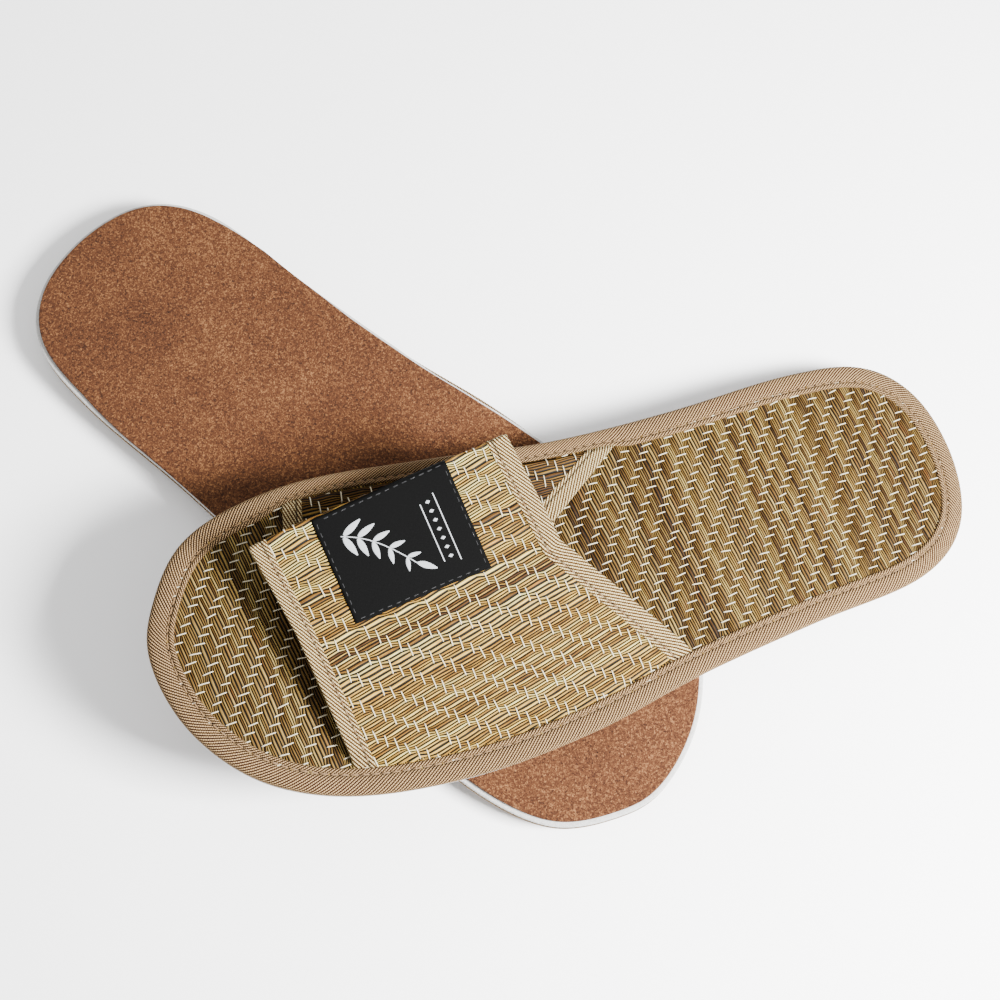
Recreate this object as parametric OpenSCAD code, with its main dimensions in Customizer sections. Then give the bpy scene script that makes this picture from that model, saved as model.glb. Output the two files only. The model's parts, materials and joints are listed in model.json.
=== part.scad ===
// A pair of open-toe spa slippers: woven rush footbed with a bound edge, foam layer, cork sole
// and a folding woven band. The right slipper lies sole up on its folded band, and the left one
// leans across it, sole down, with its band part open.
// Slipper frame: x from toe to heel, y towards the inner side of the foot, z up from the sole.

/* [Outline] */
// Length of the sole from toe to heel
sole_length = 285; // [270:1:300]
// Width of the sole at the ball of the foot
ball_width = 109; // [100:1:118]
// Points on each rounded step of the outline
steps = 6; // [4:1:10]

/* [Sole layers] */
// Thickness of the cork outsole
cork_t = 1.6; // [1:0.1:3]
// How far the cork stands in from the edge
cork_inset = 1.6; // [0.5:0.1:3]
// Thickness of the foam midsole
foam_t = 2.2; // [1.5:0.1:4]
// How far the foam stands in from the edge
foam_inset = 0.7; // [0.3:0.1:2]
// Height of the bound footbed on the foam
bound_t = 4.8; // [4.4:0.1:7]
// Thickness of the edge binding cloth
cloth_t = 0.6; // [0.4:0.1:1]
// Width of the binding on the top face
binding_w = 8.4; // [6:0.1:12]
// Depth of the binding at the outer edge
binding_side = 2.2; // [1.2:0.1:4]
// Thickness of the insole board
board_t = 1; // [0.6:0.1:1.5]
// Thickness of the woven footbed mat
mat_t = 1.2; // [0.8:0.1:2]
// Width and height of the edge stitching
thread = 0.5; // [0.3:0.1:0.8]
// How far the edge stitching runs in from the edge
stitch_inset = 6.4; // [5:0.1:8]

/* [Band] */
// Thickness of a band panel, mat and lining together
band_t = 1.2; // [1:0.1:1.6]
// Thickness of the lining behind the mat
lining_t = 0.3; // [0.2:0.1:0.4]
// How far a band binding stands out on the lining side
binding_proud = 0.1; // [0:0.05:0.2]
// Radius of the mat's middle round a crease
crease_r = 0.8; // [0.75:0.05:1.2]
// Gap between a panel's end and its crease
crease_gap = 0.3; // [0.2:0.1:0.6]
// Width of the front bindings of the band
front_binding_w = 6.4; // [4:0.1:9]
// Width of the rear bindings of the band
rear_binding_w = 7; // [4:0.1:9]
// Length of the woven label
label_l = 46.5; // [30:0.5:55]
// Width of the woven label
label_w = 36.5; // [25:0.5:45]
// Thickness of the woven label, pressed into the mat
label_t = 0.4; // [0.3:0.1:0.6]
// How far the label starts behind the band's front edge
label_start = 18; // [8:0.5:25]

/* [Pose of the pair] */
// Lean of the left slipper down towards its heel
left_pitch = 8.3; // [8.2:0.1:9]
// Heading of the left slipper
left_yaw = 26.3; // [20:0.1:30]
// Slope of the left band's lateral panel at rest
left_band_slope = 13; // [13:0.5:20]
// Fold of the left band's crest crease at rest
left_crest_fold = 157; // [140:1:158]
// Heading of the right slipper
right_yaw = 145.6; // [140:0.1:150]

/* [Hidden] */

// Heights above the sole
foam_z = cork_t;
bound_z = foam_z + foam_t;
top_z = bound_z + bound_t;
mat_top_z = top_z - cloth_t;
mat_z = mat_top_z - mat_t;
pad_z = bound_z + cloth_t + board_t;
contact = 0.15;
seam_z = mat_top_z + contact + band_t / 2 + binding_proud;

// Anchors of the outline, x as a share of the length and y as a share of the ball width
ANCHORS = [
  [-0.495, 0.110], [-0.475, -0.110], [-0.418, -0.303], [-0.326, -0.427], [-0.193, -0.488],
  [-0.053, -0.486], [0.088, -0.439], [0.246, -0.411], [0.393, -0.394], [0.470, -0.284],
  [0.500, -0.073], [0.489, 0.165], [0.435, 0.317], [0.333, 0.367], [0.175, 0.370],
  [0.018, 0.394], [-0.133, 0.459], [-0.291, 0.510], [-0.414, 0.450], [-0.477, 0.275]];

// Smooth closed curve through the anchors (Catmull-Rom)
function anchor(i) = let (a = ANCHORS[(i + len(ANCHORS)) % len(ANCHORS)])
  [a.x * sole_length, a.y * ball_width];
function curve_point(a, b, c, d, t) =
  0.5 * (2 * b + (c - a) * t + (2 * a - 5 * b + 4 * c - d) * t * t
         + (3 * b - a - 3 * c + d) * t * t * t);
EDGE = [for (i = [0 : len(ANCHORS) - 1]) for (k = [0 : steps - 1])
  curve_point(anchor(i - 1), anchor(i), anchor(i + 1), anchor(i + 2), k / steps)];

// Outline moved inwards by a distance along its own normals
function unit(v) = v / norm(v);
function normal_at(i) = let (n = len(EDGE), t = unit(EDGE[(i + 1) % n] - EDGE[(i + n - 1) % n]))
  [-t.y, t.x];
function inset(d) = [for (i = [0 : len(EDGE) - 1]) EDGE[i] + d * normal_at(i)];

// Band seams on the footbed and the flat shapes of its three panels
seam_start = [-87, -43.5];
seam_length = 114;
PANEL_FRONT = [[-5, 0], [-9.5, 41.5], [-14, 80.3]];
PANEL_REAR = [[seam_length, 0], [79.2, 52.1], [73, 88.8]];
crest = PANEL_REAR[2] - PANEL_FRONT[2];
crest_length = norm(crest);
crest_turn = atan2(crest.y, crest.x);
MID_FRONT = [[0, 0], [1.5, 20]];
MID_REAR = [[crest_length, 0], [crest_length + 2.4, 28]];
far_start = [-88, 46.5];
far_end = [20, 31.5];
far_length = norm(far_end - far_start);
far_turn = atan2(far_end.y - far_start.y, far_end.x - far_start.x);
FAR_FRONT = [[0, 0], [-4, -30.5]];
FAR_REAR = [[far_length, 0], [far_length - 22.5, -20]];
folded_rise = 4 * crease_r;
label_hem = 1;
label_thread = 0.3;
label_drop = 0.8;

// Sole up height of the right slipper, on the outer face of its folded band
right_z = seam_z + folded_rise + band_t / 2;
left_at = [27.7, -27.4, 19.35];
right_at = [-45.5, -4.7, right_z];
origin_shift = [4.66, 7.24, 0];

module slab(points, z0, z1) translate([0, 0, z0]) linear_extrude(z1 - z0) polygon(points);

// Part of an edge line's strip: the line and the same line moved along u
function moved(line, shifts) = [for (i = [0 : len(line) - 1]) line[i] + [shifts[i], 0]];
function reversed(line) = [for (i = [len(line) - 1 : -1 : 0]) line[i]];
function strip(line, shifts) = concat(line, reversed(moved(line, shifts)));
function between(front, rear) = concat(rear, reversed(front));
function shifts(line, w) = [for (i = [0 : len(line) - 1])
  let (a = line[max(0, i - 1)], b = line[min(len(line) - 1, i + 1)], d = unit(b - a)) w / abs(d.y)];

// Space over the footbed's top binding, which the band keeps out of
module over_binding() {
  difference() {
    slab(inset(-12), mat_top_z - 1, top_z + 6);
    slab(inset(binding_w + 0.4), mat_top_z - 2, top_z + 7);
  }
}

module cork_outsole() color("peru") slab(inset(cork_inset), 0, cork_t);

module foam_midsole() color("gainsboro") slab(inset(foam_inset), foam_z, bound_z);

module insole_board() color("burlywood") {
  slab(inset(binding_w + 0.1), bound_z, bound_z + cloth_t);
  slab(inset(binding_side + 0.1), bound_z + cloth_t, pad_z);
}

module insole_pad() color("white") slab(inset(binding_side + 0.1), pad_z, mat_z);

module footbed_mat() color("darkkhaki") slab(inset(binding_side + 0.1), mat_z, mat_top_z);

module edge_binding() color("tan") difference() {
  union() {
    slab(inset(0.6), bound_z, bound_z + 0.8);
    slab(inset(0), bound_z + 0.8, top_z - 1.2);
    slab(inset(0.5), top_z - 1.2, top_z - 0.4);
    slab(inset(1.2), top_z - 0.4, top_z);
  }
  slab(inset(binding_side), bound_z + cloth_t, mat_top_z);
  slab(inset(binding_w), bound_z - 1, bound_z + cloth_t + 0.1);
  slab(inset(binding_w), mat_top_z - 0.1, top_z + 1);
}

module edge_stitching() color("wheat") difference() {
  slab(inset(stitch_inset), top_z, top_z + thread / 2);
  slab(inset(stitch_inset + thread), top_z - 1, top_z + 1);
}

// Layers of a band panel, with w = 0 in the middle of its thickness
module mat_layer(front, rear) slab(between(front, rear), lining_t - band_t / 2, band_t / 2);
module lining_layer(front, rear) slab(between(front, rear), -band_t / 2, lining_t - band_t / 2);
module binding_layer(points) slab(points, -band_t / 2 - binding_proud, band_t / 2);

function inner_front(line) = moved(line, shifts(line, front_binding_w));
function inner_rear(line) = moved(line, shifts(line, -rear_binding_w));
function front_strip(line) = strip(line, shifts(line, front_binding_w));
function rear_strip(line) = strip(line, shifts(line, -rear_binding_w));

// Lateral panel: u runs along the lateral seam, v up to the crest crease
module band_panel() color("goldenrod") difference() {
  mat_layer(inner_front(PANEL_FRONT), inner_rear(PANEL_REAR));
  label_frame() cube([label_l, label_w, label_t + 1]);
}
module band_lining() color("cornsilk") lining_layer(inner_front(PANEL_FRONT), inner_rear(PANEL_REAR));
module band_front_binding() color("tan") binding_layer(front_strip(PANEL_FRONT));
module band_rear_binding() color("tan") binding_layer(rear_strip(PANEL_REAR));

module label_frame() translate([PANEL_FRONT[2].x, PANEL_FRONT[2].y, band_t / 2 - label_t])
  rotate(crest_turn) translate([label_start, -label_w - label_drop, 0]) children();
module stitch_ring(z0, z1) difference() {
  translate([label_hem, label_hem, z0])
    cube([label_l - 2 * label_hem, label_w - 2 * label_hem, z1 - z0]);
  translate([label_hem + label_thread, label_hem + label_thread, z0 - 1])
    cube([label_l - 2 * (label_hem + label_thread), label_w - 2 * (label_hem + label_thread), z1 - z0 + 2]);
}
module label() color("#1c1c20") label_frame() difference() {
  cube([label_l, label_w, label_t]);
  stitch_ring(label_t / 2, label_t + 1);
}
module label_stitching() color("#34343a") label_frame() stitch_ring(label_t / 2, label_t);

// Middle flap: u runs along the crest crease, v down to the tuck
module mid_flap() color("darkgoldenrod") mat_layer(inner_front(MID_FRONT), inner_rear(MID_REAR));
module mid_flap_lining() color("cornsilk") lining_layer(inner_front(MID_FRONT), inner_rear(MID_REAR));
module mid_flap_front_binding() color("tan") binding_layer(front_strip(MID_FRONT));
module mid_flap_rear_binding() color("tan") binding_layer(rear_strip(MID_REAR));

// Far flap: u runs along the medial seam, v in to the tuck
module far_flap() color("darkgoldenrod") mat_layer(inner_front(FAR_FRONT), inner_rear(FAR_REAR));
module far_flap_lining() color("cornsilk") lining_layer(inner_front(FAR_FRONT), inner_rear(FAR_REAR));
module far_flap_front_binding() color("tan") binding_layer(front_strip(FAR_FRONT));
module far_flap_rear_binding() color("tan") binding_layer(rear_strip(FAR_REAR));

// Slipper frames in the pair's frame
module left_slipper() translate(left_at + origin_shift) rotate([0, left_pitch, 0])
  rotate(left_yaw) children();
module right_slipper() translate(right_at + origin_shift) rotate(right_yaw)
  mirror([0, 0, 1]) children();

// Band frames in the slipper frame
module at_seam(slope, rise) difference() {
  translate([seam_start.x, seam_start.y, seam_z]) rotate([slope, 0, 0]) translate([0, 0, rise])
    children();
  if (rise == 0) over_binding();
}
module at_crest(slope, rise, fold) translate([seam_start.x, seam_start.y, seam_z])
  rotate([slope, 0, 0]) translate([PANEL_FRONT[2].x, PANEL_FRONT[2].y, rise - crease_r])
  rotate(crest_turn) rotate([-fold, 0, 0]) translate([0, crease_gap, crease_r]) children();
module at_far_seam() difference() {
  translate([far_start.x, far_start.y, seam_z]) rotate(far_turn) children();
  over_binding();
}
module left_panel() left_slipper() at_seam(left_band_slope, 0) children();
module right_panel() right_slipper() at_seam(0, folded_rise) children();
module left_mid() left_slipper() at_crest(left_band_slope, 0, left_crest_fold) children();
module right_mid() right_slipper() at_crest(0, folded_rise, 180) children();
module left_far() left_slipper() at_far_seam() children();
module right_far() right_slipper() at_far_seam() children();

left_slipper() cork_outsole();  // left_cork_outsole
left_slipper() foam_midsole();  // left_foam_midsole
left_slipper() insole_board();  // left_insole_board
left_slipper() insole_pad();  // left_insole_pad
left_slipper() footbed_mat();  // left_footbed_mat
left_slipper() edge_binding();  // left_edge_binding
left_slipper() edge_stitching();  // left_edge_stitching
left_panel() band_panel();  // left_band_panel
left_panel() band_lining();  // left_band_lining
left_panel() band_front_binding();  // left_band_front_binding
left_panel() band_rear_binding();  // left_band_rear_binding
left_panel() label();  // left_label
left_panel() label_stitching();  // left_label_stitching
left_mid() mid_flap();  // left_mid_flap
left_mid() mid_flap_lining();  // left_mid_flap_lining
left_mid() mid_flap_front_binding();  // left_mid_flap_front_binding
left_mid() mid_flap_rear_binding();  // left_mid_flap_rear_binding
left_far() far_flap();  // left_far_flap
left_far() far_flap_lining();  // left_far_flap_lining
left_far() far_flap_front_binding();  // left_far_flap_front_binding
left_far() far_flap_rear_binding();  // left_far_flap_rear_binding
right_slipper() cork_outsole();  // right_cork_outsole
right_slipper() foam_midsole();  // right_foam_midsole
right_slipper() insole_board();  // right_insole_board
right_slipper() insole_pad();  // right_insole_pad
right_slipper() footbed_mat();  // right_footbed_mat
right_slipper() edge_binding();  // right_edge_binding
right_slipper() edge_stitching();  // right_edge_stitching
right_panel() band_panel();  // right_band_panel
right_panel() band_lining();  // right_band_lining
right_panel() band_front_binding();  // right_band_front_binding
right_panel() band_rear_binding();  // right_band_rear_binding
right_panel() label();  // right_label
right_panel() label_stitching();  // right_label_stitching
right_mid() mid_flap();  // right_mid_flap
right_mid() mid_flap_lining();  // right_mid_flap_lining
right_mid() mid_flap_front_binding();  // right_mid_flap_front_binding
right_mid() mid_flap_rear_binding();  // right_mid_flap_rear_binding
right_far() far_flap();  // right_far_flap
right_far() far_flap_lining();  // right_far_flap_lining
right_far() far_flap_front_binding();  // right_far_flap_front_binding
right_far() far_flap_rear_binding();  // right_far_flap_rear_binding
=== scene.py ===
import json
import math

import bmesh
import bpy
import numpy as np
from mathutils import Matrix, Vector

# A pair of woven rush spa slippers. Shapes are worked out in millimetres in each slipper's own
# frame (x from toe to heel, y towards the inner side of the foot, z up from the sole), and a
# mesh gets them in metres in the CAD frame.
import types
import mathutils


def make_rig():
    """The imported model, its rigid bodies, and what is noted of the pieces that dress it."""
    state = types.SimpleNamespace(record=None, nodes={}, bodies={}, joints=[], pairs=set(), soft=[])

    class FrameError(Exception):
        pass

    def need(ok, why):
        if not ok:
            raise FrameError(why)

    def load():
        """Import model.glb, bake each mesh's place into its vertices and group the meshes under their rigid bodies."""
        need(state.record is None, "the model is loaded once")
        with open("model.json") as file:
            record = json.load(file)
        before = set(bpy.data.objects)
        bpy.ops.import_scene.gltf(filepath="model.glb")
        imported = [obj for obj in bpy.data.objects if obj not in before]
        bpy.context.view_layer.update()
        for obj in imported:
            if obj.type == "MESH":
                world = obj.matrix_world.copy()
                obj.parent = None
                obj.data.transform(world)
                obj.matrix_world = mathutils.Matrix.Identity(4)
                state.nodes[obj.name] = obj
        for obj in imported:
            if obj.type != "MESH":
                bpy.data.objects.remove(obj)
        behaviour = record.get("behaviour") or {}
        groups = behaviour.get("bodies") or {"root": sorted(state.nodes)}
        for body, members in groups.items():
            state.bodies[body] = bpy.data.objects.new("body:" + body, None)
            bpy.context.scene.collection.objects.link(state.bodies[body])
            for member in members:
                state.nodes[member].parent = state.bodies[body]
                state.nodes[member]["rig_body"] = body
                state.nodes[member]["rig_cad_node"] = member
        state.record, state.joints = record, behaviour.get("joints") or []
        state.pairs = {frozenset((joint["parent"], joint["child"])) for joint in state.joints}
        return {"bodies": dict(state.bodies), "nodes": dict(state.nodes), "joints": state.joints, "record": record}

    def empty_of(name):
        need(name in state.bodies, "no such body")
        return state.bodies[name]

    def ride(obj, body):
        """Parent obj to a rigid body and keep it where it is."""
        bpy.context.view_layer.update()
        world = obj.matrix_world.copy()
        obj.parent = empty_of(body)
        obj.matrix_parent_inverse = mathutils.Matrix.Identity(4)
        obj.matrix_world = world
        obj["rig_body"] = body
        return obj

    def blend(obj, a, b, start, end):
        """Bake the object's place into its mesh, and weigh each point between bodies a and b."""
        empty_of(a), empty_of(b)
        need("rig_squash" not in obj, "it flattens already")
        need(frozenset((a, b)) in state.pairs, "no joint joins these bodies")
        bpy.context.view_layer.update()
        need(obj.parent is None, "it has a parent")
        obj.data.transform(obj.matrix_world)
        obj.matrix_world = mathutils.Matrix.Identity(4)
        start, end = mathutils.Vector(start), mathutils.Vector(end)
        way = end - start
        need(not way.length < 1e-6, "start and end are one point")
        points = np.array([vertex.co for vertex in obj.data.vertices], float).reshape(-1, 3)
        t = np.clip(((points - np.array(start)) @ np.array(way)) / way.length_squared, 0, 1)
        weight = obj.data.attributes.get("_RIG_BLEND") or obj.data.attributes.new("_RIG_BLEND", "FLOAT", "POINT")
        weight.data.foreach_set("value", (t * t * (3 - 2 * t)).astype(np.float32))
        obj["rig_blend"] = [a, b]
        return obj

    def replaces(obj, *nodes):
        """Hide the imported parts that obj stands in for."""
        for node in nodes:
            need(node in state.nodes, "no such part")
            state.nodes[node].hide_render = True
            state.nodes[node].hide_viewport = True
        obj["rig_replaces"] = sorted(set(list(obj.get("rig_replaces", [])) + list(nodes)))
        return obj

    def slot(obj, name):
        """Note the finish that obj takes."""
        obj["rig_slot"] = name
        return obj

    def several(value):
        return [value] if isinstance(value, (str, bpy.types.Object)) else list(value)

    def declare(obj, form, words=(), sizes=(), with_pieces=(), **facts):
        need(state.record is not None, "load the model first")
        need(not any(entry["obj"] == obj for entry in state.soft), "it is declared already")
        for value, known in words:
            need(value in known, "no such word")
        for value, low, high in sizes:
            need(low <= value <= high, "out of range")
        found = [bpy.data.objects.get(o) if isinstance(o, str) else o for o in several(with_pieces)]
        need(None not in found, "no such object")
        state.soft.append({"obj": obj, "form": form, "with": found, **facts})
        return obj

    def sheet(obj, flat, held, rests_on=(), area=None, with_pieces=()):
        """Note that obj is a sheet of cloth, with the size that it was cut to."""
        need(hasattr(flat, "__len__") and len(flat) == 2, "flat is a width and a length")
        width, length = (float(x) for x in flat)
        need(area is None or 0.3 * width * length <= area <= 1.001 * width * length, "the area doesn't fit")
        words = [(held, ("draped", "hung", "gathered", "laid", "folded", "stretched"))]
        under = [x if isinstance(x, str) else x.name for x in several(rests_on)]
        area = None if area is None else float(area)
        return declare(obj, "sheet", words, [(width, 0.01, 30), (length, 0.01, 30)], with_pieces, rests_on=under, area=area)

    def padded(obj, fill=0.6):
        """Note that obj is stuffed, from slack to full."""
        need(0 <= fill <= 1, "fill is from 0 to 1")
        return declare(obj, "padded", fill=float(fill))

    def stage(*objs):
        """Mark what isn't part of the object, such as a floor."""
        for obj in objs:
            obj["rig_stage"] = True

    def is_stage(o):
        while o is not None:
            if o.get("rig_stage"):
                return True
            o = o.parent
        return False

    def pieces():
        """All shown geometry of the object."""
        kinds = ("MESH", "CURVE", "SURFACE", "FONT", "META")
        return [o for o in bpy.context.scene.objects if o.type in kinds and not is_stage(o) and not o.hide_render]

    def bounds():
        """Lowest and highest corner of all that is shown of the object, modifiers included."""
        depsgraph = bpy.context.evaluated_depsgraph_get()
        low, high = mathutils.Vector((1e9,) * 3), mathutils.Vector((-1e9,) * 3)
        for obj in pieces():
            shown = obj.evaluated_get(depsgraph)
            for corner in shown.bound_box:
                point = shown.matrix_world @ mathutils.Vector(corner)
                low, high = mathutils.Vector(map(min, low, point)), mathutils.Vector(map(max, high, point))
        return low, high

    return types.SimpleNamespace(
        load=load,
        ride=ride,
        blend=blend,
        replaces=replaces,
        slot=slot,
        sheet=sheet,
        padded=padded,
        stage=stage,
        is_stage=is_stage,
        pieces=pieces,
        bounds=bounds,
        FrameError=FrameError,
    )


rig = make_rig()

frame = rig.load()
CAD_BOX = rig.bounds()
MM = 0.001

# Flat shapes and places of the band's panels and of the label on it. They follow the CAD model,
# apart from the far flap's rear corner and the label, which are drawn about 2 mm from its own.
SEAM_START = (-87.0, -43.5)
SEAM_LENGTH = 114.0
PANEL_FRONT = np.array([[-5, 0], [-9.5, 41.5], [-14, 80.3]])
PANEL_REAR = np.array([[SEAM_LENGTH, 0], [79.2, 52.1], [73, 88.8]])
MID_FRONT_END = (1.5, 20.0)
MID_REAR_END = (2.4, 28.0)
FAR_START = (-88.0, 46.5)
FAR_END = (20.0, 31.5)
FAR_FRONT_END = (-4.0, -30.5)
FAR_REAR_END = (-21.3, -18.4)
LABEL_AT = (18.7, -35.8)
LABEL_SIZE = (46.5, 37.1)

# Where the near panel is cut into two pieces, counted across from its crest
BAND_CUT = -42.0

# The folds' radius, the gap past the crest's fold, half the cloth's thickness, the tapes' widths
# and how far in from a tape's inner edge its sunk line of stitches runs
CREASE_R = 0.8
CREASE_GAP = 0.3
CLOTH_HALF = 0.6
FRONT_TAPE = 6.4
REAR_TAPE = 7.4
TAPE_GROOVE = 1.75

# How each band lies: slope in degrees, height of its seam, angles of its two folds, crown
SLOPE = {"left": 13.0, "right": 0.0}
RISE = {"left": 0.0, "right": 3.2}
FOLD = {"left": math.radians(157), "right": math.radians(180)}
TUCK = {"left": math.radians(144), "right": math.radians(180)}
CROWN = {"left": 1.0, "right": 0.0}

# Heights above the cork's underside
MAT_TOP = 8.0
FOAM_FOOT = 1.6
FOAM_TOP = 3.8
BOARD_TOP = 5.4
PAD_TOP = 6.8

# The edge binding on top: its width, its narrower width along the far flap, where along the sole
# that is and over what length it changes, and how far in from the edge its stitches run
BINDING_W = 8.4
FAR_BINDING_W = 6.0
FAR_SPAN = (-98, 34)
FAR_SPAN_SOFT = 14
STITCH_AT = 6.32

# Cloth sewn under the binding: its height at the binding's inner line, its least height, how far
# inside the sole's edge it stays, and the height that stands for cloth that isn't under it
UNDER_BINDING = 7.85
UNDER_BINDING_LEAST = 6.9
INSIDE_EDGE = 1.2
NOT_SUNK = -99


# ---------------------------------------------------------------- meshes

def lengths(points):
    """How far along a line of points each of them is."""
    return np.concatenate([[0], np.cumsum(np.linalg.norm(np.diff(points, axis=0), axis=1))])


def quads_of(rows, columns, close_rows=False, close_columns=False, flip=False):
    """Faces of a grid of points, row by row."""
    r = np.arange(rows if close_rows else rows - 1)
    c = np.arange(columns if close_columns else columns - 1)
    r, c = np.meshgrid(r, c, indexing="ij")
    r2, c2 = (r + 1) % rows, (c + 1) % columns
    corners = [r * columns + c, r * columns + c2, r2 * columns + c2, r2 * columns + c]
    quads = np.stack(corners, -1).reshape(-1, 4)
    return quads[:, ::-1] if flip else quads


def mesh_object(name, points, quads, uv=None, values=None):
    """A mesh object from points in metres, with a UV map in centimetres and named point values."""
    mesh = bpy.data.meshes.new(name)
    mesh.vertices.add(len(points))
    mesh.vertices.foreach_set("co", np.asarray(points, np.float32).ravel())
    mesh.loops.add(quads.size)
    mesh.loops.foreach_set("vertex_index", np.ascontiguousarray(quads, np.int32).ravel())
    mesh.polygons.add(len(quads))
    mesh.polygons.foreach_set("loop_start", np.arange(0, quads.size, 4, dtype=np.int32))
    mesh.polygons.foreach_set("loop_total", np.full(len(quads), 4, np.int32))
    mesh.polygons.foreach_set("use_smooth", np.full(len(quads), True))
    if uv is not None:
        layer = mesh.uv_layers.new(name="cloth")
        layer.data.foreach_set("uv", (np.asarray(uv)[quads.ravel()] * 0.1).astype(np.float32).ravel())
    for key, value in (values or {}).items():
        layer = mesh.attributes.new(key, "FLOAT", "POINT")
        layer.data.foreach_set("value", np.asarray(value, np.float32).ravel())
    mesh.update(calc_edges=True)
    thing = bpy.data.objects.new(name, mesh)
    bpy.context.scene.collection.objects.link(thing)
    return thing


def grid_object(name, put, place, uv, values=None, **faces):
    """A mesh object from a grid of places, which put turns into points in millimetres."""
    points = put(*(v.ravel() for v in place))
    cloth = np.stack([v.ravel() for v in uv], 1)
    return mesh_object(name, points * MM, quads_of(*place[0].shape, **faces), cloth, values)


def dress(thing, paint, slot, nodes=()):
    """Gives a piece its material, its record slot and the CAD nodes it stands for."""
    thing.data.materials.append(paint)
    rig.slot(thing, slot)
    if nodes:
        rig.replaces(thing, *nodes)
    return thing


def tubes(name, paths, ups, wide, high, sides=6, taper=0.35):
    """Short threads, all in one mesh: paths and ups are (threads, rings, 3) arrays in millimetres."""
    count, rings, _ = paths.shape
    tangent = np.gradient(paths, axis=1)
    tangent /= np.linalg.norm(tangent, axis=2, keepdims=True)
    side = np.cross(tangent, ups)
    side /= np.linalg.norm(side, axis=2, keepdims=True)
    up = np.cross(side, tangent)
    fat = np.ones(rings)
    fat[[0, -1]] = taper
    turn = np.arange(sides) / sides * 2 * math.pi
    ring = (side[:, :, None] * (np.cos(turn) * wide)[None, None, :, None]
            + up[:, :, None] * (np.sin(turn) * high)[None, None, :, None])
    points = paths[:, :, None] + ring * fat[None, :, None, None]
    one = quads_of(rings, sides, close_columns=True)
    quads = (one[None] + (np.arange(count) * rings * sides)[:, None, None]).reshape(-1, 4)
    length = np.concatenate([np.zeros((count, 1)),
                             np.cumsum(np.linalg.norm(np.diff(paths, axis=1), axis=2), 1)], 1)
    uv = np.stack(np.broadcast_arrays(length[:, :, None] + np.arange(count)[:, None, None] * 0.37,
                                      (turn * high)[None, None, :]), -1)
    return mesh_object(name, points.reshape(-1, 3) * MM, quads, uv.reshape(-1, 2))


# ---------------------------------------------------------------- frames

def shift(x, y, z):
    """A move, as a matrix."""
    m = np.eye(4)
    m[:3, 3] = (x, y, z)
    return m


def turn(axis, degrees):
    """A turn about an axis through the origin, as a matrix."""
    m = np.eye(4)
    m[:3, :3] = np.array(Matrix.Rotation(math.radians(degrees), 3, axis))
    return m


def apply(m, points):
    """The points, moved by the matrix."""
    return points @ m[:3, :3].T + m[:3, 3]


def node_points(name):
    """A CAD node's points in millimetres."""
    mesh = frame["nodes"][name].data
    flat = np.empty(len(mesh.vertices) * 3)
    mesh.vertices.foreach_get("co", flat)
    return flat.reshape(-1, 3) / MM


def joint(name):
    """A joint's place in millimetres and its axis."""
    found = next(j for j in frame["joints"] if j["name"] == name)
    return np.array(found["pos_m"]) / MM, np.array(found["axis"], float)


def slipper_frame(side):
    """The slipper's own frame as a matrix, from its cork sole and its band's hinge."""
    cork = node_points(side + "_cork_outsole")
    mat = node_points(side + "_footbed_mat")
    up = np.linalg.svd(cork - cork.mean(0))[2][2]
    up *= np.sign(up @ (mat.mean(0) - cork.mean(0)))
    hinge, along = joint(side + "_band_open")
    if side == "right":
        along = -along
    along -= up * (along @ up)
    along /= np.linalg.norm(along)
    inner = np.cross(up, along) * (-1 if side == "right" else 1)
    height = hinge @ up - (cork @ up).min()
    m = np.eye(4)
    m[:3, :3] = np.stack([along, inner, up], 1)
    m[:3, 3] = hinge - along * SEAM_START[0] - inner * SEAM_START[1] - up * height
    return m, height


# ---------------------------------------------------------------- outline

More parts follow.
